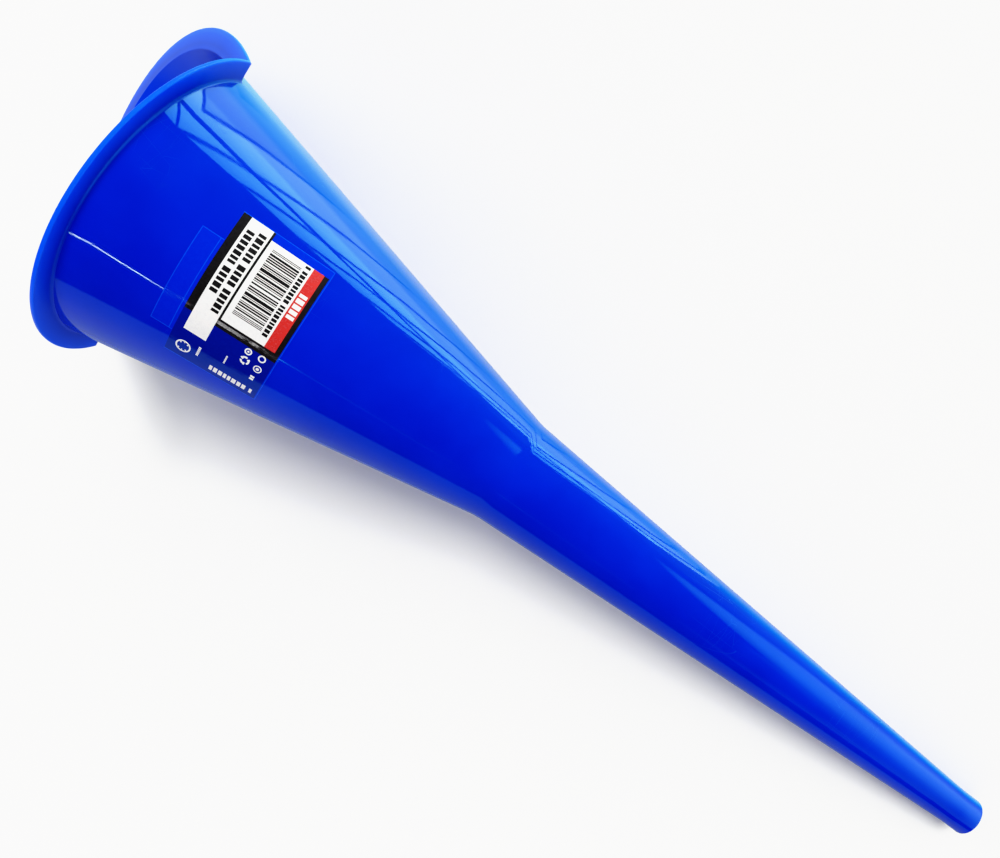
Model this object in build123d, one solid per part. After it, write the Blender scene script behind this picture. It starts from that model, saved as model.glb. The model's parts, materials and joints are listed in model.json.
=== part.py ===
from build123d import *
import os
from math import atan2, cos, degrees, radians, sin, sqrt, tan

os.makedirs("parts", exist_ok=True)

# A long-neck funnel, moulded in one piece, lying on its side with its splash guard down.
# It is drawn upright in its own axes first: the funnel's axis is X, the spout tip is at x = 0,
# and the splash guard is on the -Z side. place() then lays it on the plane z = 0.
# All sizes are in millimetres.

# Lengths along the funnel's axis, from the spout tip.
LAND_LENGTH = 8.0      # parallel stretch at the outlet, inside and outside
NECK_LENGTH = 217.0    # tip to the bend where the neck meets the cone
BODY_LENGTH = 378.0    # tip to the plane of the half flange

# Outer radii.
TIP_R = 7.1
NECK_R = 21.0          # at the bend
MOUTH_R = 56.0         # of the cone at the plane of the half flange
BEND_R = 30.0          # blends the neck into the cone

# Walls, lip and edges.
WALL = 1.6
LIP_WIDTH = 7.4        # how far the lip stands out from the cone
LIP_THICKNESS = 1.7
LIP_ROOT = 1.2         # fillet between the lip's back and the cone
TIP_ROUND = 0.6        # rounded edge of the outlet

# The splash guard is the cone carried on past the rim and cut by a slanted plane.
GUARD_ANGLE = 44.0     # between the guard's edge plane and the rim plane, degrees

# The label is a printed film that wraps round the top of the cone, with a bare tab towards
# the mouth. It is centred on the flange side.
LABEL_START = 302.8    # from the tip, along the axis
LABEL_END = 336.6
LABEL_ARC = 77.0       # degrees round the axis
TAB_END = 343.2
TAB_ARC = 43.0
LABEL_THICKNESS = 0.12
LABEL_GLUE = 0.03      # layer of adhesive below the film

REACH = 200.0          # more than the mouth's radius or the guard's height

CONE_SLOPE = (MOUTH_R - NECK_R) / (BODY_LENGTH - NECK_LENGTH)
GUARD_SLOPE = tan(radians(GUARD_ANGLE))
GUARD_STRETCH = sqrt(1 + GUARD_SLOPE**2)
FLANGE_R = MOUTH_R + LIP_WIDTH

# The slanted plane cuts the cone in an ellipse. Distances in that plane start at the fold
# line, the diameter that it shares with the rim plane, and run towards the guard's top.
ECCENTRICITY = CONE_SLOPE * GUARD_SLOPE
EDGE_HALF_LENGTH = MOUTH_R * GUARD_STRETCH / (1 - ECCENTRICITY**2)
EDGE_CENTRE = EDGE_HALF_LENGTH * ECCENTRICITY
LIP_HALF_LENGTH = EDGE_HALF_LENGTH + LIP_WIDTH
LIP_HALF_WIDTH = FLANGE_R / sqrt(1 - (EDGE_CENTRE / LIP_HALF_LENGTH) ** 2)
GUARD_TOP = EDGE_CENTRE + LIP_HALF_LENGTH

SLANT = Plane(
    origin=(BODY_LENGTH, 0, 0),
    x_dir=(GUARD_SLOPE, 0, -1),
    z_dir=(1, 0, GUARD_SLOPE),
)


def cone_radius(x):
    return NECK_R + CONE_SLOPE * (x - NECK_LENGTH)


def turned(corners, *rounds):
    """Revolve a closed outline of (x, radius) corners about the funnel's axis."""
    face = make_face(Polyline(*corners, close=True))
    for corner, radius in rounds:
        face = fillet(face.vertices().sort_by_distance((*corner, 0))[0], radius)
    return revolve(face, Axis.X, 360)


def outside():
    end = BODY_LENGTH + REACH
    tip, land = (0, TIP_R), (LAND_LENGTH, TIP_R)
    bend = (NECK_LENGTH, NECK_R)
    corners = [(0, 0), tip, land, bend, (end, cone_radius(end)), (end, 0)]
    return turned(corners, (bend, BEND_R), (tip, TIP_ROUND))


def hollow():
    start, end = -5, BODY_LENGTH + REACH
    land = (LAND_LENGTH, TIP_R - WALL)
    bend = (NECK_LENGTH, NECK_R - WALL)
    mouth = (end, cone_radius(end) - WALL)
    corners = [(start, 0), (start, TIP_R - WALL), land, bend, mouth, (end, 0)]
    return turned(corners, (bend, BEND_R + WALL))


def behind_mouth():
    """Everything on the tip's side of the rim plane and of the guard's slanted plane."""
    low = (BODY_LENGTH + REACH * GUARD_SLOPE, -REACH)
    corners = [(-REACH, REACH), (BODY_LENGTH, REACH), (BODY_LENGTH, 0), low, (-REACH, -REACH)]
    face = Plane.XZ * make_face(Polyline(*corners, close=True))
    return extrude(face, REACH, both=True)


def lip():
    """A flat half ring round the rim and a half ellipse round the guard, mitred at the fold."""
    ring = Plane.YZ.offset(BODY_LENGTH) * Circle(FLANGE_R)
    flange = extrude(ring, -LIP_THICKNESS)
    oval = SLANT * Pos(EDGE_CENTRE, 0) * Ellipse(LIP_HALF_LENGTH, LIP_HALF_WIDTH)
    edge = extrude(oval, -LIP_THICKNESS)
    mitre_angle = radians(GUARD_ANGLE / 2)
    mitre = Plane(
        origin=(BODY_LENGTH, 0, 0),
        x_dir=(0, 1, 0),
        z_dir=(-sin(mitre_angle), 0, cos(mitre_angle)),
    )
    upper = split(flange, mitre, keep=Keep.TOP)
    lower = split(edge, mitre, keep=Keep.BOTTOM)
    return upper + lower


def lip_back_at(distance):
    """A point on the back of the guard's lip, this far from the fold along its middle."""
    x = BODY_LENGTH + (distance * GUARD_SLOPE - LIP_THICKNESS) / GUARD_STRETCH
    z = -(distance + LIP_THICKNESS * GUARD_SLOPE) / GUARD_STRETCH
    return x, 0, z


def funnel_body():
    solid = (outside() & behind_mouth()) + lip()
    rim_back = (BODY_LENGTH - LIP_THICKNESS, 0, MOUTH_R)
    guard_back = lip_back_at(EDGE_CENTRE + EDGE_HALF_LENGTH)
    roots = [solid.edges().sort_by_distance(spot)[0] for spot in (rim_back, guard_back)]
    return solid.fillet(LIP_ROOT, roots) - hollow()


def film_patch(start, end, arc):
    """A thin conical patch on the outside of the cone, centred on the flange side."""
    low = cone_radius(start) + LABEL_GLUE
    high = cone_radius(end) + LABEL_GLUE
    corners = [(start, low), (end, high), (end, high + LABEL_THICKNESS), (start, low + LABEL_THICKNESS)]
    patch = revolve(make_face(Polyline(*corners, close=True)), Axis.X, arc)
    return patch.rotate(Axis.X, 90 - arc / 2)


def label_film():
    return film_patch(LABEL_START, LABEL_END, LABEL_ARC) + film_patch(LABEL_END, TAB_END, TAB_ARC)


def place(shape, tilt, shift=(0, 0, 0)):
    return Pos(*shift) * shape.rotate(Axis.Y, -tilt)


guard_x, _, guard_z = lip_back_at(GUARD_TOP)
TILT = degrees(atan2(-guard_z - TIP_R, guard_x))

body = funnel_body()
label = label_film()
box = place(body, TILT).bounding_box()
SHIFT = (-(box.min.X + box.max.X) / 2, 0, -box.min.Z)

nodes = {"funnel_body": body, "label_film": label}
for name, shape in nodes.items():
    export_step(place(shape, TILT, SHIFT), f"parts/{name}.step")

axis_x, axis_z = cos(radians(TILT)), sin(radians(TILT))
print(f"tilt {TILT:.3f} degrees, shift {SHIFT}, size {box.size}")
print(f"tip centre {SHIFT[0]:.3f}, {SHIFT[2]:.3f}; axis {axis_x:.5f}, {axis_z:.5f}")
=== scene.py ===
"""A long-neck funnel of glossy blue plastic, lying on a white table with its splash guard down.

Lengths are in metres, in the frame's axes. The funnel is drawn in its own axes, where x runs along
its axis from the spout tip, y is the frame's Y, and z points to the side with the half flange.
"""
import json
import math
import random

import bpy
from mathutils import Matrix, Vector


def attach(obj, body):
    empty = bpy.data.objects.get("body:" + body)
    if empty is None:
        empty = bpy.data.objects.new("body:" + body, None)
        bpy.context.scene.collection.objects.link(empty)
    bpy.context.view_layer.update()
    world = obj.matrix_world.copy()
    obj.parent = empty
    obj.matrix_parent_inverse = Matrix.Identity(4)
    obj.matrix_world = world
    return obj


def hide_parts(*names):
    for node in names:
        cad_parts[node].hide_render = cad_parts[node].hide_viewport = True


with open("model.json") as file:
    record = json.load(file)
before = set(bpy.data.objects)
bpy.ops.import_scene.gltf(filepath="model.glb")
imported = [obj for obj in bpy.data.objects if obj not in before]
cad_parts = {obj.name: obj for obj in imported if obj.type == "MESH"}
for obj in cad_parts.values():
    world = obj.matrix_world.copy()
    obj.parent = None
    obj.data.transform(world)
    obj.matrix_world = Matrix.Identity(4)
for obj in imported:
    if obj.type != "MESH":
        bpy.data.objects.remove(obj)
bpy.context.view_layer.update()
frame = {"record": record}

MM = 0.001

# ---------------------------------------------------------------- the funnel's sizes
MOUNTS = {mount["name"]: mount for mount in frame["record"]["mounts"]}
LAND = MOUNTS["outlet"]["dims"]["length_mm"] * MM
TIP_R = MOUNTS["spout_end"]["dims"]["r_mm"] * MM
WALL = TIP_R - MOUNTS["outlet"]["dims"]["r_mm"] * MM
AXIS = -Vector(MOUNTS["outlet"]["axis"]).normalized()
TIP = Vector(MOUNTS["outlet"]["pos_m"]) - AXIS * LAND / 2
SIDE = Vector((0, 1, 0))
UP = AXIS.cross(SIDE)

NECK_LENGTH = 217 * MM
BODY_LENGTH = 378 * MM
NECK_R = 21 * MM
MOUTH_R = 56 * MM
BEND_R = 30 * MM
LIP_WIDTH = 7.4 * MM
LIP_THICKNESS = 1.7 * MM
LIP_ROOT = 1.2 * MM
LIP_ROUND = 0.6 * MM
INNER_ROUND = 0.8 * MM
TIP_ROUND = 0.7 * MM
GUARD_ANGLE = math.radians(44)

CONE_SLOPE = (MOUTH_R - NECK_R) / (BODY_LENGTH - NECK_LENGTH)
CONE_HALF_ANGLE = math.atan(CONE_SLOPE)
CONE_APEX = BODY_LENGTH - MOUTH_R / CONE_SLOPE
GUARD_SLOPE = math.tan(GUARD_ANGLE)
GUARD_STRETCH = math.hypot(1, GUARD_SLOPE)
FLANGE_R = MOUTH_R + LIP_WIDTH
ECCENTRICITY = CONE_SLOPE * GUARD_SLOPE
EDGE_HALF_LENGTH = MOUTH_R * GUARD_STRETCH / (1 - ECCENTRICITY**2)
EDGE_HALF_WIDTH = MOUTH_R / math.sqrt(1 - ECCENTRICITY**2)
EDGE_CENTRE = EDGE_HALF_LENGTH * ECCENTRICITY
LIP_HALF_LENGTH = EDGE_HALF_LENGTH + LIP_WIDTH
LIP_HALF_WIDTH = FLANGE_R / math.sqrt(1 - (EDGE_CENTRE / LIP_HALF_LENGTH) ** 2)

# How finely the meshes are cut.
COLUMNS = 256                                # round the axis, a multiple of 4
FOLD_COLUMNS = (-0.7 * MM, -0.35 * MM, 0.35 * MM)   # extra ones beside the fold, along the rim
NECK_RINGS = 26
BEND_RINGS = 10
CONE_RINGS = 26


def place(point):
    """A point given in the funnel's own axes, in the frame."""
    return TIP + AXIS * point[0] + SIDE * point[1] + UP * point[2]


# ---------------------------------------------------------------- mesh helpers
def new_piece(name, vertices, faces, smooth=True):
    mesh = bpy.data.meshes.new(name)
    mesh.from_pydata([tuple(v) for v in vertices], [], faces)
    mesh.update()
    mesh.polygons.foreach_set("use_smooth", [smooth] * len(mesh.polygons))
    piece = bpy.data.objects.new(name, mesh)
    bpy.context.scene.collection.objects.link(piece)
    return piece


def add_values(piece, name, values):
    """Stores one number per vertex for the material to read."""
    layer = piece.data.attributes.new(name, "FLOAT", "POINT")
    layer.data.foreach_set("value", values)


def add_places(piece, name, points):
    """Stores one position per vertex for the material to read."""
    layer = piece.data.attributes.new(name, "FLOAT_VECTOR", "POINT")
    layer.data.foreach_set("vector", [c for p in points for c in p])


def round_corner(corner, before, after, radius, steps):
    """Points of the arc that rounds a corner, whose two sides leave it along before and after."""
    before, after = before.normalized(), after.normalized()
    half = before.angle(after) / 2
    centre = corner + (before + after).normalized() * (radius / math.sin(half))
    start = corner + before * (radius / math.tan(half)) - centre
    end = corner + after * (radius / math.tan(half)) - centre
    sweep = start.angle(end)
    arc = []
    for n in range(steps + 1):
        share = n / steps
        mixed = start * math.sin((1 - share) * sweep) + end * math.sin(share * sweep)
        arc.append(centre + mixed / math.sin(sweep))
    return arc


def between(a, b, steps):
    """The points that cut the line from a to b into steps, without its two ends."""
    return [a.lerp(b, n / steps) for n in range(1, steps)]


# ---------------------------------------------------------------- the moulding
def neck_line(inset):
    """(x, radius) points of the neck and the bend, inset from the outside."""
    land = Vector((LAND, TIP_R - inset, 0))
    bend = Vector((NECK_LENGTH, NECK_R - inset, 0))
    towards_mouth = Vector((1, CONE_SLOPE, 0))
    arc = round_corner(bend, land - bend, towards_mouth, BEND_R + inset, BEND_RINGS)
    return [land] + between(land, arc[0], NECK_RINGS) + arc


OUTER_NECK = neck_line(0)
INNER_NECK = neck_line(WALL)


def mouth_corner(turn, inset, set_back):
    """Where the wall at this turn meets the mouth's edge surface, or that surface set back."""
    out = Vector((0, math.cos(turn), math.sin(turn)))
    lean = -math.sin(turn)
    radius = MOUTH_R - inset - CONE_SLOPE * set_back
    point = Vector((BODY_LENGTH - set_back, 0, 0)) + out * radius
    if lean > 0:
        slanted_back = set_back * GUARD_STRETCH
        start = MOUTH_R - inset - CONE_SLOPE * slanted_back
        radius = start / (1 - ECCENTRICITY * lean)
        x = BODY_LENGTH - slanted_back + GUARD_SLOPE * radius * lean
        if x > point.x:
            point = Vector((x, 0, 0)) + out * radius
    return point


def lip_edge(turn):
    """The lip's outer front corner, and the way from it through the lip's thickness."""
    lean = -math.sin(turn)
    if lean < -1e-9:
        corner = Vector((BODY_LENGTH, FLANGE_R * math.cos(turn), FLANGE_R * math.sin(turn)))
        return corner, Vector((-1, 0, 0))
    inner = mouth_corner(turn, 0, 0)
    along, across = -inner.z * GUARD_STRETCH, inner.y
    inner_turn = math.atan2(across / EDGE_HALF_WIDTH, (along - EDGE_CENTRE) / EDGE_HALF_LENGTH)
    inner_fold = math.acos(-EDGE_CENTRE / EDGE_HALF_LENGTH)
    outer_fold = math.acos(-EDGE_CENTRE / LIP_HALF_LENGTH)
    outer_turn = inner_turn * outer_fold / inner_fold
    along = EDGE_CENTRE + LIP_HALF_LENGTH * math.cos(outer_turn)
    across = LIP_HALF_WIDTH * math.sin(outer_turn)
    x = BODY_LENGTH + along * GUARD_SLOPE / GUARD_STRETCH
    corner = Vector((x, across, -along / GUARD_STRETCH))
    if lean < 1e-9:
        half = GUARD_ANGLE / 2
        return corner, Vector((-math.cos(half), 0, -math.sin(half))) / math.cos(half)
    return corner, Vector((-1, 0, -GUARD_SLOPE)).normalized()


def turns():
    """The angles of the mesh's columns, with close ones beside the two ends of the fold."""
    angles = [2 * math.pi * n / COLUMNS for n in range(COLUMNS)]
    for offset in FOLD_COLUMNS:
        step = offset / MOUTH_R
        angles += [step % (2 * math.pi), (math.pi - step) % (2 * math.pi)]
    return sorted(angles)


def ring_points(line, turn):
    """The points of a (x, radius) line on one column of the mesh."""
    out = Vector((0, math.cos(turn), math.sin(turn)))
    return [Vector((p.x, 0, 0)) + out * p.y for p in line]


def section(turn):
    """The closed outline of the wall at this turn, as (point, lip share) pairs.

    The lip share is 1 on the lip's edge and falls to 0 at its root. It is 0.5 at the mouth's inner edge
    and falls to 0 down the inside of the cone. The material mixes a lighter blue in by it, painted light
    for light coming through the thin lip and into the mouth, and it also sets where the surface is rougher.
    """
    out = Vector((0, math.cos(turn), math.sin(turn)))
    back_along_cone = Vector((-1, 0, 0)) - out * CONE_SLOPE
    edge, through = lip_edge(turn)
    edge_back = edge + through * LIP_THICKNESS
    root = mouth_corner(turn, 0, LIP_THICKNESS)
    inner = mouth_corner(turn, WALL, 0)

    tip_outer = round_corner(out * TIP_R, -out, Vector((1, 0, 0)), TIP_ROUND, 4)
    tip_inner = round_corner(out * (TIP_R - WALL), Vector((1, 0, 0)), out, TIP_ROUND, 4)
    outside = ring_points(OUTER_NECK, turn)
    root_arc = round_corner(root, back_along_cone, edge_back - root, LIP_ROOT, 6)
    back_round = round_corner(edge_back, root - edge_back, -through, LIP_ROUND, 4)
    front_round = round_corner(edge, through, inner - edge, LIP_ROUND, 4)
    inner_round = round_corner(inner, edge - inner, back_along_cone, INNER_ROUND, 5)
    inside = ring_points(INNER_NECK, turn)[::-1]

    points = [(p, 0) for p in tip_outer + outside]
    points += [(p, 0) for p in between(outside[-1], root_arc[0], CONE_RINGS)]
    points += [(p, 0.2 + n / 30 if n else 0) for n, p in enumerate(root_arc)]
    up_the_back = between(root_arc[-1], back_round[0], 4)
    points += [(p, 0.4 + 0.15 * n) for n, p in enumerate(up_the_back, 1)]
    points += [(p, 1) for p in back_round + front_round]
    down_the_front = between(front_round[-1], inner_round[0], 4)
    points += [(p, 0.85 - 0.15 * n) for n, p in enumerate(down_the_front, 1)]
    points += [(p, 0.5) for p in inner_round]
    # Down the inside the share fades, and with it the painted light near the mouth.
    down_the_cone = between(inner_round[-1], inside[0], CONE_RINGS)
    points += [(p, 0.5 * (1 - n / CONE_RINGS)) for n, p in enumerate(down_the_cone, 1)]
    points += [(p, 0) for p in inside + tip_inner]
    return points


def make_body():
    """One closed mesh of the wall: columns round the axis, each a closed outline."""
    columns = [section(turn) for turn in turns()]
    rows = len(columns[0])
    local = [point for column in columns for point, _ in column]
    faces = []
    for c in range(len(columns)):
        here, there = c * rows, (c + 1) % len(columns) * rows
        for r in range(rows):
            after = (r + 1) % rows
            faces.append((here + r, here + after, there + after, there + r))
    piece = new_piece("funnel_moulding", [place(p) for p in local], faces)
    add_places(piece, "own_place", local)
    add_values(piece, "lip_share", [share for column in columns for _, share in column])
    return piece


# ---------------------------------------------------------------- the label
# The label is laid out flat, in millimetres, on the unrolled cone: u runs from the cone's apex
# towards the mouth along the top of the funnel, and v round the cone, towards +Y.
FILM_U = (185.6, 220.2)
FILM_V = (-31.9, 26.2)
TAB_U = 228.0
TAB_V = (-20.4, 16.2)
PANEL_U = (186.2, 220.0)
PANEL_V = (-31.6, 5.6)
PRINT_V = -28.7                 # where the print beside the title band ends
TITLE_U = (208.9, 217.1)
TITLE_END_V = 12.8
BOX_U = (192.0, 208.1)
BOX_END_V = 2.4
RED_U = (188.0, 192.0)
FILM_LIFT = 0.03
FILM_THICKNESS = 0.10
INK = 0.012                     # thickness of one layer of print
CELL = 1.2                      # largest side of a mesh cell on the label


def on_cone(u, v, lift):
    """A point of the unrolled cone, in the funnel's own axes, lifted off its surface."""
    slant = math.hypot(u, v) * MM
    turn = math.atan2(v, u) / math.sin(CONE_HALF_ANGLE)
    along = slant * math.cos(CONE_HALF_ANGLE) - lift * MM * math.sin(CONE_HALF_ANGLE)
    radius = slant * math.sin(CONE_HALF_ANGLE) + lift * MM * math.cos(CONE_HALF_ANGLE)
    return Vector((CONE_APEX + along, radius * math.sin(turn), radius * math.cos(turn)))


def flat_slab(outline_cells, lift, thickness):
    """Vertices and faces of a closed slab over a set of quads given as (u, v) corners."""
    keys, top, faces, edges = {}, [], [], {}
    for quad in outline_cells:
        numbers = []
        for corner in quad:
            key = (round(corner[0], 4), round(corner[1], 4))
            if key not in keys:
                keys[key] = len(top)
                top.append(key)
            numbers.append(keys[key])
        if len(set(numbers)) < 3:
            continue
        faces.append(tuple(numbers))
        for a, b in zip(numbers, numbers[1:] + numbers[:1]):
            edges[(a, b)] = True
    count = len(top)
    vertices = [on_cone(u, v, lift + thickness) for u, v in top]
    vertices += [on_cone(u, v, lift) for u, v in top]
    solid = list(faces)
    solid += [tuple(n + count for n in reversed(face)) for face in faces]
    solid += [(b, a, a + count, b + count) for a, b in edges if (b, a) not in edges]
    return vertices, solid


def cut(low, high):
    """Stations from low to high, no further apart than a mesh cell."""
    steps = max(1, math.ceil((high - low) / CELL - 1e-6))
    return [low + (high - low) * n / steps for n in range(steps + 1)]


def rectangle(u, v):
    """Quads that fill the rectangle from u[0] to u[1] and v[0] to v[1]."""
    us, vs = cut(*u), cut(*v)
    quads = []
    for u0, u1 in zip(us, us[1:]):
        for v0, v1 in zip(vs, vs[1:]):
            quads.append([(u0, v0), (u0, v1), (u1, v1), (u1, v0)])
    return quads


def grid_minus(us, vs, keep):
    """Quads of a grid of stations whose middles pass a test."""
    quads = []
    for u0, u1 in zip(us, us[1:]):
        for v0, v1 in zip(vs, vs[1:]):
            if keep((u0 + u1) / 2, (v0 + v1) / 2):
                quads.append([(u0, v0), (u0, v1), (u1, v1), (u1, v0)])
    return quads


def ring(centre, outer, inner, steps=28, start=0.0, sweep=2 * math.pi):
    """Quads of a ring or an arc of one."""
    quads = []
    for n in range(steps):
        a, b = (start + sweep * (n + k) / steps for k in (0, 1))
        corners = [(outer, a), (outer, b), (inner, b), (inner, a)]
        quads.append([(centre[0] + r * math.cos(t), centre[1] + r * math.sin(t)) for r, t in corners])
    return quads


def bar(a, b, width):
    """One quad: a straight stroke from a to b."""
    (au, av), (bu, bv) = a, b
    length = math.hypot(bu - au, bv - av)
    nu, nv = -(bv - av) / length * width / 2, (bu - au) / length * width / 2
    return [[(au + nu, av + nv), (bu + nu, bv + nv), (bu - nu, bv - nv), (au - nu, av - nv)]]


def print_piece(name, groups, lift, thickness=INK):
    """A printed piece: every group of quads becomes its own closed slab in one object."""
    vertices, faces = [], []
    for quads in groups:
        more, solid = flat_slab(quads, lift, thickness)
        start = len(vertices)
        vertices += more
        faces += [tuple(n + start for n in face) for face in solid]
    piece = new_piece(name, [place(p) for p in vertices], faces, smooth=False)
    add_places(piece, "own_place", vertices)
    return piece


def make_film():
    """The clear film: a rectangle with its tab towards the mouth."""
    us = cut(*FILM_U) + cut(FILM_U[1], TAB_U)[1:]
    vs = sorted(set(cut(FILM_V[0], TAB_V[0]) + cut(*TAB_V) + cut(TAB_V[1], FILM_V[1])))
    inside = lambda u, v: u < FILM_U[1] or TAB_V[0] < v < TAB_V[1]
    return print_piece("label_film_sheet", [grid_minus(us, vs, inside)], FILM_LIFT, FILM_THICKNESS)


BARS_V = (-26.4, -1.6)
BARS_U = (195.4, 206.2)
# Widths of dark and light stripes, dark first: an invented pattern that stands for nothing.
STRIPES = (1, 1, 1, 2, 3, 1, 2, 1, 2, 1, 2, 2, 1, 1, 2, 1, 1, 1, 4, 1, 1, 2, 3, 1, 1, 1, 2, 1, 1, 2,
           2, 3, 2, 1, 2, 1, 1, 2, 4, 1, 1, 1, 3, 2, 1, 1, 2, 1, 2, 2, 1, 1, 2, 2, 1, 1, 1, 1, 1)


def make_bars():
    """The striped block: one thin slab for each dark stripe."""
    unit = (BARS_V[1] - BARS_V[0]) / sum(STRIPES)
    groups, v = [], BARS_V[0]
    for n, width in enumerate(STRIPES):
        if n % 2 == 0:
            groups.append(rectangle(BARS_U, (v, v + width * unit)))
        v += width * unit
    return groups


def greeked_line(u, v, height, words, seed):
    """A line of print with every letter a plain block, v growing along it; words are block counts."""
    draw = random.Random(seed)
    groups = []
    for count in words:
        for _ in range(count):
            width = height * draw.uniform(0.38, 0.66)
            groups.append(rectangle((u - height / 2, u + height / 2), (v, v + width)))
            v += width + height * 0.2
        v += height * 0.4
    return groups


def upright_line(u, v, height, words, seed):
    """A greeked line that runs towards the mouth instead of round the cone."""
    groups = greeked_line(0, 0, height, words, seed)
    return [[[(u + q[1], v - q[0]) for q in quad] for quad in quads] for quads in groups]


def emblem(centre, size):
    """A plain round mark: a ring with three bars in it."""
    groups = [ring(centre, size, size * 0.8)]
    for n in range(3):
        across = (n - 1) * 0.45 * size
        half = math.sqrt((0.74 * size) ** 2 - across**2)
        u = centre[0] + across
        groups.append(bar((u, centre[1] - half), (u, centre[1] + half), 0.16 * size))
    return groups


def chasing_arrows(centre, size):
    """Three bent strokes in a triangle."""
    groups = []
    for n in range(3):
        start = math.radians(120 * n + 12)
        groups.append(ring(centre, size, size * 0.6, 6, start, math.radians(74)))
        point = start + math.radians(96)
        reach = size * 0.8
        head = (centre[0] + reach * math.cos(point), centre[1] + reach * math.sin(point))
        back = (centre[0] + reach * math.cos(point - 0.45), centre[1] + reach * math.sin(point - 0.45))
        groups.append(bar(back, head, size * 0.6))
    return groups


def blob(centre, size, sides=10):
    """A filled round spot, as quads that fan from its middle."""
    turns_round = [2 * math.pi * n / sides for n in range(sides)]
    rim = [(centre[0] + size * math.cos(t), centre[1] + size * math.sin(t)) for t in turns_round]
    return [[centre, rim[n], rim[n + 1], rim[(n + 2) % sides]] for n in range(0, sides, 2)]


def film_edge_highlight():
    """The film's cut edge as a narrow strip round its outline; the material paints it lighter, a painted
    highlight where the edge catches the light.
    """
    width = 0.3
    u, v, tab = FILM_U, FILM_V, TAB_V
    return [
        rectangle((u[0], u[0] + width), v),
        rectangle((u[0] + width, u[1]), (v[0], v[0] + width)),
        rectangle((u[0] + width, u[1]), (v[1] - width, v[1])),
        rectangle((u[1], TAB_U), (tab[0], tab[0] + width)),
        rectangle((u[1], TAB_U), (tab[1] - width, tab[1])),
        rectangle((TAB_U - width, TAB_U), (tab[0] + width, tab[1] - width)),
        rectangle((u[1] + 0.9, u[1] + 0.9 + width), (tab[0] + width, tab[1] - width)),
    ]


def make_label():
    """Every printed piece of the label, by material."""
    top = FILM_LIFT + FILM_THICKNESS
    us = sorted(set(cut(PANEL_U[0], BOX_U[1]) + cut(BOX_U[1], PANEL_U[1])))
    vs = sorted(set(cut(PANEL_V[0], PRINT_V) + cut(PRINT_V, PANEL_V[1])))
    covered = lambda u, v: u > BOX_U[1] or v > PRINT_V
    white = [rectangle(TITLE_U, (PANEL_V[0], TITLE_END_V)), rectangle(BOX_U, (PRINT_V, BOX_END_V))]
    ink = make_bars()
    ink += greeked_line(193.75, -28.2, 1.9, (1, 9, 9), 11)
    ink += greeked_line(214.8, -27.4, 2.7, (7, 5), 3)
    ink += greeked_line(211.1, -28.6, 2.7, (6, 4, 5), 8)
    marks = emblem((214.6, 20.2), 2.7) + chasing_arrows((195.0, 11.0), 1.7)
    marks += [ring((190.0, 11.4), 1.5, 1.1), blob((190.0, 11.4), 0.6)]
    marks += [ring((190.4, 6.9), 1.4, 0.9), ring((195.4, 7.2), 1.3, 0.8), blob((195.4, 7.2), 0.4)]
    marks += greeked_line(190.2, 15.0, 1.5, (2,), 5)
    marks += greeked_line(209.4, 16.4, 0.9, (7,), 6)
    marks += greeked_line(200.5, 13.4, 0.6, (9,), 9)
    marks += upright_line(188.0, 22.6, 2.4, (1, 8), 14)
    film = make_film()
    return {
        "film": film,
        "film_edge_highlight": print_piece("label_film_edge", film_edge_highlight(), FILM_LIFT + 0.01, FILM_THICKNESS),
        "black": print_piece("label_black_panel", [grid_minus(us, vs, covered)], top),
        "navy": print_piece("label_navy_panel", [rectangle(PANEL_U, (PANEL_V[1], FILM_V[1] - 0.4))], top),
        "white": print_piece("label_white_print", white, top + INK),
        "red": print_piece("label_red_band", [rectangle(RED_U, (PRINT_V, BOX_END_V))], top + INK),
        "ink": print_piece("label_black_print", ink, top + 2 * INK),
        "marks": print_piece("label_white_marks", marks, top + INK),
        "red_marks": print_piece("label_band_marks", greeked_line(190.0, -19.3, 2.8, (5,), 21), top + 2 * INK),
    }


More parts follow.
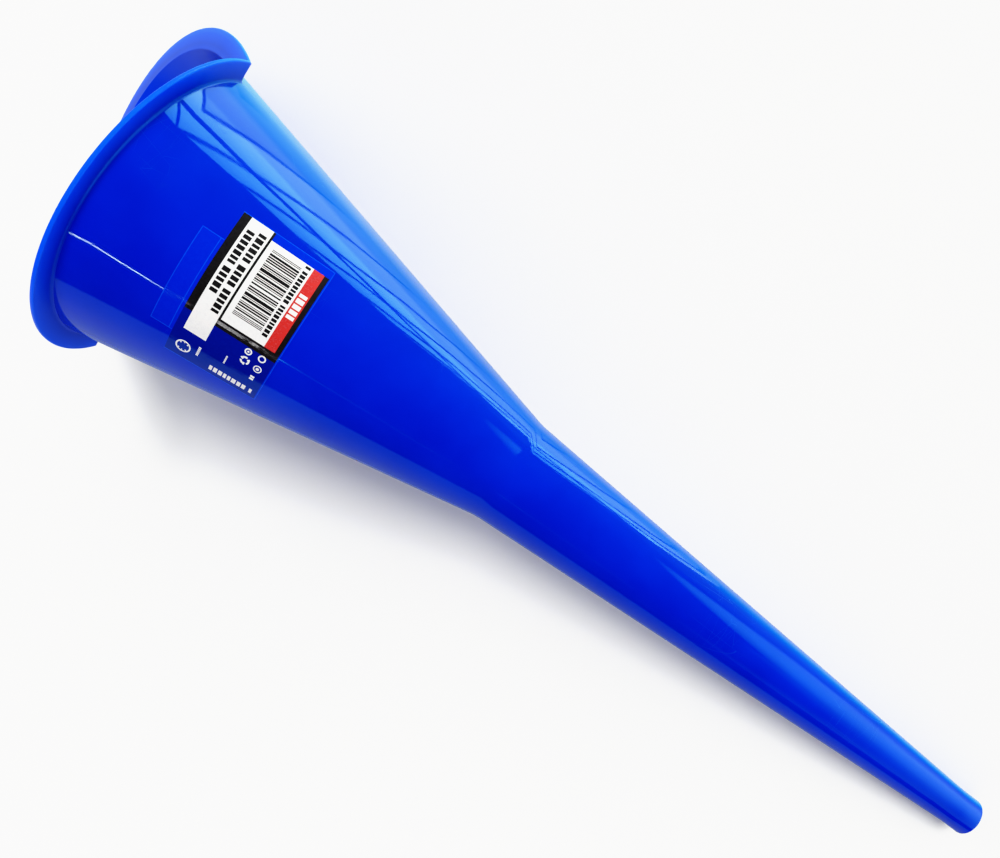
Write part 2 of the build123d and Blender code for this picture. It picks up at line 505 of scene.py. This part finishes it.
# ---------------------------------------------------------------- materials
class Shader:
    """A material's Principled shader with short calls for the nodes that feed it."""

    def __init__(self, name, colour, roughness):
        self.made = bpy.data.materials.new(name)
        self.made.use_nodes = True
        self.nodes = self.made.node_tree.nodes
        self.links = self.made.node_tree.links
        self.shader = self.nodes["Principled BSDF"]
        self.set("Base Color", (*colour, 1))
        self.set("Roughness", roughness)

    def set(self, socket, value):
        self.shader.inputs[socket].default_value = value

    def attribute(self, name, output="Vector"):
        node = self.nodes.new("ShaderNodeAttribute")
        node.attribute_name = name
        return node.outputs[output]

    def stretched(self, vector, scale, turn=(0, 0, 0)):
        node = self.nodes.new("ShaderNodeMapping")
        node.inputs["Scale"].default_value = scale
        node.inputs["Rotation"].default_value = turn
        self.links.new(vector, node.inputs["Vector"])
        return node.outputs["Vector"]

    def noise(self, vector, scale=1.0, detail=2.0, rough=0.5, distortion=0.0):
        node = self.nodes.new("ShaderNodeTexNoise")
        node.inputs["Scale"].default_value = scale
        node.inputs["Detail"].default_value = detail
        node.inputs["Roughness"].default_value = rough
        node.inputs["Distortion"].default_value = distortion
        self.links.new(vector, node.inputs["Vector"])
        return node.outputs["Fac"]

    def cells(self, vector, scale):
        """The distance to the nearest border between random cells."""
        node = self.nodes.new("ShaderNodeTexVoronoi")
        node.feature = "DISTANCE_TO_EDGE"
        node.inputs["Scale"].default_value = scale
        self.links.new(vector, node.inputs["Vector"])
        return node.outputs["Distance"]

    def ramp(self, value, low, high, start=0.0, end=1.0):
        node = self.nodes.new("ShaderNodeMapRange")
        for socket, number in (("From Min", low), ("From Max", high), ("To Min", start), ("To Max", end)):
            node.inputs[socket].default_value = number
        self.links.new(value, node.inputs["Value"])
        return node.outputs["Result"]

    def times(self, a, b):
        node = self.nodes.new("ShaderNodeMath")
        node.operation = "MULTIPLY"
        self.links.new(a, node.inputs[0])
        self.links.new(b, node.inputs[1])
        return node.outputs[0]

    def largest(self, a, b):
        node = self.nodes.new("ShaderNodeMath")
        node.operation = "MAXIMUM"
        self.links.new(a, node.inputs[0])
        self.links.new(b, node.inputs[1])
        return node.outputs[0]

    def blend(self, amount, first, second):
        """Mixes a colour, or a colour output, with another colour."""
        node = self.nodes.new("ShaderNodeMix")
        node.data_type = "RGBA"
        if isinstance(first, tuple):
            node.inputs[6].default_value = (*first, 1)
        else:
            self.links.new(first, node.inputs[6])
        node.inputs[7].default_value = (*second, 1)
        self.links.new(amount, node.inputs[0])
        return node.outputs[2]

    def bump(self, height, distance, below=None):
        node = self.nodes.new("ShaderNodeBump")
        node.inputs["Distance"].default_value = distance
        self.links.new(height, node.inputs["Height"])
        if below:
            self.links.new(below, node.inputs["Normal"])
        return node.outputs["Normal"]

    def feed(self, socket, output):
        self.links.new(output, self.shader.inputs[socket])


BLUE = (0.001, 0.028, 0.545)
BLUE_DEEP = (0.0008, 0.022, 0.5)
BLUE_PAINTED_LIGHT = (0.008, 0.11, 1.0)         # painted light: a lighter blue where the thin plastic lets light through
BLUE_SCUFF = (0.03, 0.11, 0.66)
GLOSS_TINT = (0.2, 0.9, 1.0, 1)       # the blue plastic's gloss is bluish where it is seen face on


def body_plastic():
    """Glossy polypropylene: faint flow lines along the funnel, shallow waves, light scratches, and painted
    light: a lighter blue on the lip and inside the mouth, for light coming through the thin plastic.
    """
    m = Shader("blue_plastic", BLUE, 0.06)
    where = m.attribute("own_place")
    share = m.attribute("lip_share", "Fac")
    flow = m.noise(m.stretched(where, (9, 260, 260)), 1.0, 3.0)
    waves = m.noise(m.stretched(where, (14, 38, 38)), 1.0, 1.5, 0.4, 0.6)
    clouds = m.noise(where, 38.0, 3.0)
    patches = m.ramp(m.noise(where, 26.0, 2.0), 0.54, 0.66)
    lengthwise = m.ramp(m.cells(m.stretched(where, (7, 130, 130), (0.05, 0.12, 0.1)), 1.0), 0.004, 0.0)
    crosswise = m.ramp(m.cells(m.stretched(where, (260, 40, 40), (0.5, 0.3, 0.7)), 1.0), 0.004, 0.0)
    scratches = m.times(m.largest(lengthwise, crosswise), patches)
    deep = m.blend(m.ramp(clouds, 0.35, 0.65), BLUE_DEEP, BLUE)
    scuffed = m.blend(m.ramp(scratches, 0, 1, 0, 0.55), deep, BLUE_SCUFF)
    # Painted light: the lip share mixes a lighter blue onto the lip and the inside of the mouth.
    m.feed("Base Color", m.blend(m.ramp(share, 0.3, 1, 0, 0.9), scuffed, BLUE_PAINTED_LIGHT))
    gloss = m.largest(m.ramp(clouds, 0.3, 0.7, 0.03, 0.06), m.ramp(share, 0, 0.2, 0, 0.3))
    m.feed("Roughness", m.largest(gloss, m.ramp(scratches, 0, 1, 0, 0.35)))
    surface = m.bump(waves, 0.00016)
    m.feed("Normal", m.bump(flow, 0.000006, surface))
    m.set("Specular Tint", GLOSS_TINT)
    return m.made


def label_material(name, colour, worn, roughness, crinkle=0.00005):
    """Film or print: a shallow crinkle, and small patches where the colour is a little worn."""
    m = Shader(name, colour, roughness)
    where = m.attribute("own_place")
    grain = m.noise(where, 900.0, 4.0, 0.7)
    folds = m.noise(m.stretched(where, (120, 60, 60), (0.2, 0.1, 0.6)), 1.0, 2.5, 0.5, 1.2)
    m.feed("Base Color", m.blend(m.ramp(grain, 0.42, 0.72), colour, worn))
    m.feed("Roughness", m.ramp(grain, 0.3, 0.7, roughness * 0.8, roughness * 1.25))
    m.feed("Normal", m.bump(folds, crinkle))
    return m


def table_material():
    """A white laminate top with a faint mottle and a fine grain."""
    m = Shader("table_white", (0.93, 0.926, 0.885), 0.6)
    coordinates = m.nodes.new("ShaderNodeTexCoord").outputs["Object"]
    mottle = m.noise(coordinates, 9.0, 5.0, 0.6)
    grain = m.noise(coordinates, 700.0, 3.0)
    light, dark = (0.935, 0.932, 0.887), (0.92, 0.917, 0.872)
    m.feed("Base Color", m.blend(m.ramp(mottle, 0.35, 0.7), light, dark))
    m.feed("Normal", m.bump(grain, 0.00002))
    return m.made


def finish_piece(piece, made):
    piece.data.materials.append(made)
    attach(piece, "root")


# ---------------------------------------------------------------- the stage
CAMERA_AT = Vector((-47.27, -112.04, 350.13)) * MM
CAMERA_AIM = Vector((4.01, 3.00, 0.0)) * MM
CAMERA_UP = Vector((0.6344, -0.75713, -0.15586))
FOCAL_SHARE = 0.8822        # focal length over the picture's width
SENSOR = 36.0
FLOOR_HALF = 1.3


def make_camera():
    """The camera that took the picture: its place, its aim and its lens."""
    data = bpy.data.cameras.new("camera")
    data.sensor_width = SENSOR
    data.lens = SENSOR * FOCAL_SHARE
    data.clip_start, data.clip_end = 0.01, 50
    camera = bpy.data.objects.new("camera", data)
    bpy.context.scene.collection.objects.link(camera)
    back = (CAMERA_AT - CAMERA_AIM).normalized()
    right = CAMERA_UP.cross(back).normalized()
    up = back.cross(right)
    camera.matrix_world = Matrix.Translation(CAMERA_AT) @ Matrix((right, up, back)).transposed().to_4x4()
    bpy.context.scene.camera = camera


def make_floor():
    """The table. The gloss doesn't see it: what it mirrors of the table is in the world's colours."""
    corners = [(-FLOOR_HALF, -FLOOR_HALF, 0), (FLOOR_HALF, -FLOOR_HALF, 0)]
    corners += [(FLOOR_HALF, FLOOR_HALF, 0), (-FLOOR_HALF, FLOOR_HALF, 0)]
    floor = new_piece("table_top", corners, [(0, 1, 2, 3)])
    floor.data.materials.append(table_material())
    floor.visible_glossy = False


def hang_light(data, at, aim, power, colour):
    """Puts a lamp up so that it lights the scene without showing in the gloss."""
    data.energy = power
    data.color = colour
    light = bpy.data.objects.new(data.name, data)
    bpy.context.scene.collection.objects.link(light)
    light.location = at
    light.rotation_mode = "QUATERNION"
    light.rotation_quaternion = (Vector(aim) - Vector(at)).to_track_quat("-Z", "Y")
    light.visible_glossy = False
    light.visible_camera = False


def soft_box(name, at, aim, size, power, colour=(1, 1, 1)):
    data = bpy.data.lights.new(name, "AREA")
    data.shape = "RECTANGLE"
    data.size, data.size_y = size
    hang_light(data, at, aim, power, colour)


def broad_light(name, at, spread, power, colour):
    """Light from one direction, spread over an angle in degrees, equally strong everywhere."""
    data = bpy.data.lights.new(name, "SUN")
    data.angle = math.radians(spread)
    hang_light(data, at, (0, 0, 0), power, colour)


# The room that the gloss mirrors: glowing sheets a few metres off, given by the azimuth and the
# elevation, in degrees, at which the funnel sees their corners. Nothing but the gloss sees them.
ROOM_CENTRE = Vector((0.05, 0, 0.06))
ROOM_RADIUS = 3.0
BAR_HALF_WIDTH = 0.45           # of the bars between two window panes, in degrees
LAST_PANE_SHARE = 0.55

# Each row is (glow, elevation at the first bar, at the last bar, azimuths of the bars).
UPPER_PANES = (
    (3.6, 8.5, 20.0, (-105.4, -104.2, -101.3, -96.2, -91.4, -87.0, -82.0)),
    (5.7, 1.0, 9.0, (-106.4, -105.2, -102.4, -97.6, -92.3, -87.0, -81.0)),
    (5.8, -5.5, 4.6, (-107.4, -106.0, -102.9, -98.8, -93.0, -87.0, -80.5)),
)
LOWER_PANES = (
    (5.2, -7.2, 2.2, (-108.0, -106.5, -103.2, -99.0, -93.4, -87.0, -80.4, -73.5)),
    (6.8, -10.0, -9.0, (-109.5, -107.0, -103.6, -99.5, -93.9, -86.9, -80.0, -72.0)),
    (7.0, -16.0, -16.0, (-110.2, -107.6, -105.0, -100.0, -94.1, -86.7, -79.2, -70.0)),
    (4.6, -19.0, -19.0, (-111.0, -108.6, -105.6, -100.3, -94.2, -86.5, -78.8, -69.0)),
    (3.0, -34.0, -34.0, (-113.5, -111.0, -108.0, -101.8, -94.6, -85.7, -76.2, -64.0)),
    (1.2, -40.0, -40.0, (-115.0, -112.5, -109.0, -102.8, -94.8, -85.1, -74.4, -61.0)),
    (0.0, -54.0, -54.0, (-118.0, -115.0, -111.5, -104.8, -95.0, -83.0, -69.0, -50.0)),
)


def in_the_room(azimuth, elevation):
    """The point of the room that the funnel sees at an azimuth and an elevation, in degrees."""
    a, e = math.radians(azimuth), math.radians(elevation)
    direction = Vector((math.cos(e) * math.cos(a), math.cos(e) * math.sin(a), math.sin(e)))
    return ROOM_CENTRE + direction * ROOM_RADIUS


def glow_material(name, colour):
    """Light added over whatever is behind the sheet, as strong as the sheet's "glow" says."""
    made = bpy.data.materials.new(name)
    made.use_nodes = True
    made.cycles.emission_sampling = "NONE"
    nodes, links = made.node_tree.nodes, made.node_tree.links
    nodes.clear()
    level = nodes.new("ShaderNodeAttribute")
    level.attribute_name = "glow"
    emission = nodes.new("ShaderNodeEmission")
    emission.inputs["Color"].default_value = (*colour, 1)
    clear = nodes.new("ShaderNodeBsdfTransparent")
    both = nodes.new("ShaderNodeAddShader")
    out = nodes.new("ShaderNodeOutputMaterial")
    links.new(level.outputs["Fac"], emission.inputs["Strength"])
    links.new(emission.outputs[0], both.inputs[0])
    links.new(clear.outputs[0], both.inputs[1])
    links.new(both.outputs[0], out.inputs["Surface"])
    return made


def glow_sheet(name, corners, faces, glow, made):
    """A sheet that only the gloss sees; corners are (azimuth, elevation) pairs."""
    sheet = new_piece(name, [in_the_room(*corner) for corner in corners], faces, smooth=False)
    add_values(sheet, "glow", glow)
    sheet.data.materials.append(made)
    sheet.visible_camera = False
    sheet.visible_diffuse = False
    sheet.visible_transmission = False
    sheet.visible_volume_scatter = False
    sheet.visible_shadow = False


def window(name, rows, made):
    """A row of panes with dark bars between them, the last one dimmer."""
    corners, faces, glow = [], [], []
    for n in range(len(rows[0][3]) - 1):
        first = len(corners)
        for level, start, end, bars in rows:
            for k, inward in ((n, BAR_HALF_WIDTH), (n + 1, -BAR_HALF_WIDTH)):
                share = (bars[k] - bars[0]) / (bars[-1] - bars[0])
                corners.append((bars[k] + inward, start + (end - start) * share))
                glow.append(level * (LAST_PANE_SHARE if n > 5 else 1))
        for r in range(len(rows) - 1):
            a = first + 2 * r
            faces.append((a, a + 1, a + 3, a + 2))
    glow_sheet(name, corners, faces, glow, made)


# A wide soft window: (elevation, azimuth of its edge, share of the full glow).
SOFT_WINDOW = ((44, -150, 0), (36, -142, 0.3), (29, -127, 0.6), (21, -119, 0.85), (16, -116.5, 0.9),
               (8, -118, 1), (0, -120, 1), (-8, -121, 0.75), (-16, -124, 0.35), (-30, -128, 0))
SOFT_WINDOW_GLOW = 2.8
SOFT_WINDOW_COLUMNS = ((0, 0.15), (3, 0.75), (12, 1), (40, 1), (75, 0.6))   # (degrees inward, share)


def soft_window(made):
    """A window without bars whose glow fades towards its edges."""
    corners, faces, glow = [], [], []
    for elevation, edge, share in SOFT_WINDOW:
        for inward, part in SOFT_WINDOW_COLUMNS:
            corners.append((edge - inward, elevation))
            glow.append(SOFT_WINDOW_GLOW * share * part)
    for r in range(len(SOFT_WINDOW) - 1):
        for c in range(4):
            a = 5 * r + c
            faces.append((a, a + 1, a + 6, a + 5))
    glow_sheet("soft_window", corners, faces, glow, made)


# A long thin lamp overhead, as (azimuth, elevation, glow) points along it. Its warm part shows on the
# plastic and its plain tail on the label.
LAMP = ((93, 59.3, 20), (97, 58.6, 26), (101, 57.8, 22), (103, 57.3, 10), (104.6, 56.9, 1))
LAMP_TAIL = ((104.6, 56.9, 3), (107, 56.4, 9), (110, 55.7, 14), (116, 54.3, 12), (119, 53.5, 1.5),
             (127, 50.8, 0.8), (136, 46.2, 0.8))
LAMP_WIDTH = 0.7
LAMP_COLOUR = (3.0, 1.0, 0.9)


def thin_lamp(name, line, made):
    """A strip that follows a line of (azimuth, elevation, glow) points."""
    corners, glow = [], []
    for azimuth, elevation, level in line:
        corners += [(azimuth, elevation - LAMP_WIDTH / 2), (azimuth, elevation + LAMP_WIDTH / 2)]
        glow += [level, level]
    faces = [(2 * n, 2 * n + 2, 2 * n + 3, 2 * n + 1) for n in range(len(line) - 1)]
    glow_sheet(name, corners, faces, glow, made)


# What the gloss mirrors beyond the sheets, on the window's side and on the shaded side: the colour
# at a height, which is the sine of the elevation. The table fills the lower half, the room the upper.
WINDOW_SIDE = (
    (-1.0, (1.0, 1.4, 1.5)),
    (-0.94, (1.0, 1.5, 1.6)),
    (-0.87, (0.85, 1.8, 1.9)),
    (-0.79, (0.55, 1.8, 2.0)),
    (-0.69, (0.25, 1.7, 2.0)),
    (-0.55, (0.35, 1.4, 1.65)),
    (-0.4, (0.6, 1.1, 1.2)),
    (-0.2, (0.75, 0.95, 1.0)),
    (-0.02, (0.7, 0.85, 0.9)),
    (0.06, (0.5, 0.55, 0.6)),
    (0.9, (0.12, 0.14, 0.15)),
)
SHADED_SIDE = (
    (-1.0, (0.24, 0.28, 0.4)),
    (-0.64, (0.32, 0.38, 0.55)),
    (-0.34, (0.5, 0.55, 0.75)),
    (0.0, (0.75, 0.7, 0.95)),
    (0.325, (0.8, 0.72, 1.0)),
    (0.35, (0.05, 0.05, 0.07)),
    (0.9, (0.02, 0.02, 0.02)),
)
BACKDROP = (0.93, 0.93, 0.93, 1)


def make_world():
    world = bpy.data.worlds.new("studio")
    bpy.context.scene.world = world
    world.use_nodes = True
    nodes, links = world.node_tree.nodes, world.node_tree.links
    coordinates = nodes.new("ShaderNodeTexCoord")
    split = nodes.new("ShaderNodeSeparateXYZ")
    links.new(coordinates.outputs["Generated"], split.inputs[0])
    height = nodes.new("ShaderNodeMapRange")
    height.inputs["From Min"].default_value = -1
    links.new(split.outputs["Z"], height.inputs["Value"])

    def by_height(stops):
        ramp = nodes.new("ShaderNodeValToRGB")
        for n, (level, colour) in enumerate(stops):
            place_on_ramp = (level + 1) / 2
            elements = ramp.color_ramp.elements
            element = elements[n] if n < 2 else elements.new(place_on_ramp)
            element.position = place_on_ramp
            element.color = (*colour, 1)
        links.new(height.outputs["Result"], ramp.inputs["Fac"])
        return ramp.outputs["Color"]

    def mixed(amount, first, second):
        mix = nodes.new("ShaderNodeMix")
        mix.data_type = "RGBA"
        links.new(amount, mix.inputs[0])
        links.new(first, mix.inputs[6])
        if isinstance(second, tuple):
            mix.inputs[7].default_value = second
        else:
            links.new(second, mix.inputs[7])
        return mix.outputs[2]

    side = nodes.new("ShaderNodeMapRange")
    side.inputs["From Min"].default_value = -0.3
    side.inputs["From Max"].default_value = 0.3
    links.new(split.outputs["Y"], side.inputs["Value"])
    path = nodes.new("ShaderNodeLightPath")
    room = mixed(side.outputs["Result"], by_height(WINDOW_SIDE), by_height(SHADED_SIDE))
    seen = mixed(path.outputs["Is Camera Ray"], room, BACKDROP)
    links.new(seen, nodes["Background"].inputs["Color"])


# The picture's tone curve as (light, tone) pairs: deep darks, and bright tones that level off.
TONES = ((0.0, 0.0), (0.02, 0.004), (0.06, 0.03), (0.12, 0.088), (0.25, 0.235), (0.5, 0.52),
         (0.75, 0.775), (0.92, 0.925), (1.05, 0.952), (1.25, 0.966), (1.5, 1.0))


def set_tones():
    settings = bpy.context.scene.view_settings
    settings.view_transform = "Standard"
    settings.use_curve_mapping = True
    mapping = settings.curve_mapping
    brightest = TONES[-1][0]
    mapping.white_level = (brightest, brightest, brightest)
    curve = mapping.curves[3]
    curve.points[0].location = (0, 0)
    curve.points[1].location = (1, 1)
    for light, tone in TONES[1:-1]:
        curve.points.new(light / brightest, tone)
    mapping.update()


def make_light():
    """Lamps that light the scene, and glowing sheets that only the gloss sees."""
    make_world()
    broad_light("window_side", (0.05, -1.1, 1.65), 20, 2.1, (1.0, 0.995, 0.975))
    broad_light("window_low", (0.1, -1.6, 1.0), 45, 1.0, (1.0, 0.99, 0.96))
    soft_box("overhead", (0, 0, 1.7), (0, 0, 0), (2.0, 2.0), 4)
    soft_box("fill", (-0.2, 1.5, 1.1), (0, 0, 0), (1.5, 1.5), 8)
    soft_box("mouth_side", (1.5, -0.2, 0.9), (0.2, 0, 0), (1.2, 1.2), 7)
    daylight = glow_material("glow_daylight", (1, 1, 1))
    lamplight = glow_material("glow_lamplight", LAMP_COLOUR)
    window("window_upper", UPPER_PANES, daylight)
    window("window_lower", LOWER_PANES, daylight)
    soft_window(daylight)
    thin_lamp("thin_lamp", LAMP, lamplight)
    thin_lamp("thin_lamp_tail", LAMP_TAIL, daylight)


def main():
    set_tones()
    make_camera()
    make_floor()
    make_light()
    body = make_body()
    finish_piece(body, body_plastic())
    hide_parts("funnel_body")

    label = make_label()
    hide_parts("label_film")
    clear = label_material("film_clear", (0.001, 0.03, 0.58), (0.002, 0.035, 0.6), 0.08)
    # Painted highlight: the film's edge strip gets a lighter blue than the clear film.
    edge = label_material("film_edge_highlight", (0.006, 0.07, 0.7), (0.01, 0.09, 0.74), 0.2)
    black = label_material("ink_black", (0.02, 0.018, 0.019), (0.028, 0.026, 0.027), 0.07)
    navy = label_material("ink_navy", (0.005, 0.017, 0.27), (0.006, 0.02, 0.3), 0.07, 0.00012)
    white = label_material("ink_white", (0.84, 0.83, 0.8), (0.76, 0.75, 0.74), 0.3)
    red = label_material("ink_red", (0.6, 0.045, 0.04), (0.5, 0.05, 0.05), 0.25)
    for material in (clear, edge, navy):
        material.set("Specular Tint", GLOSS_TINT)
    for key, material, slot in (
        ("film", clear, "label_film"),
        ("film_edge_highlight", edge, "label_film"),
        ("black", black, "label_film"),
        ("navy", navy, "label_film"),
        ("white", white, "label_white"),
        ("red", red, "label_red"),
        ("ink", black, "label_ink"),
        ("marks", white, "label_white"),
        ("red_marks", white, "label_white"),
    ):
        finish_piece(label[key], material.made)


main()
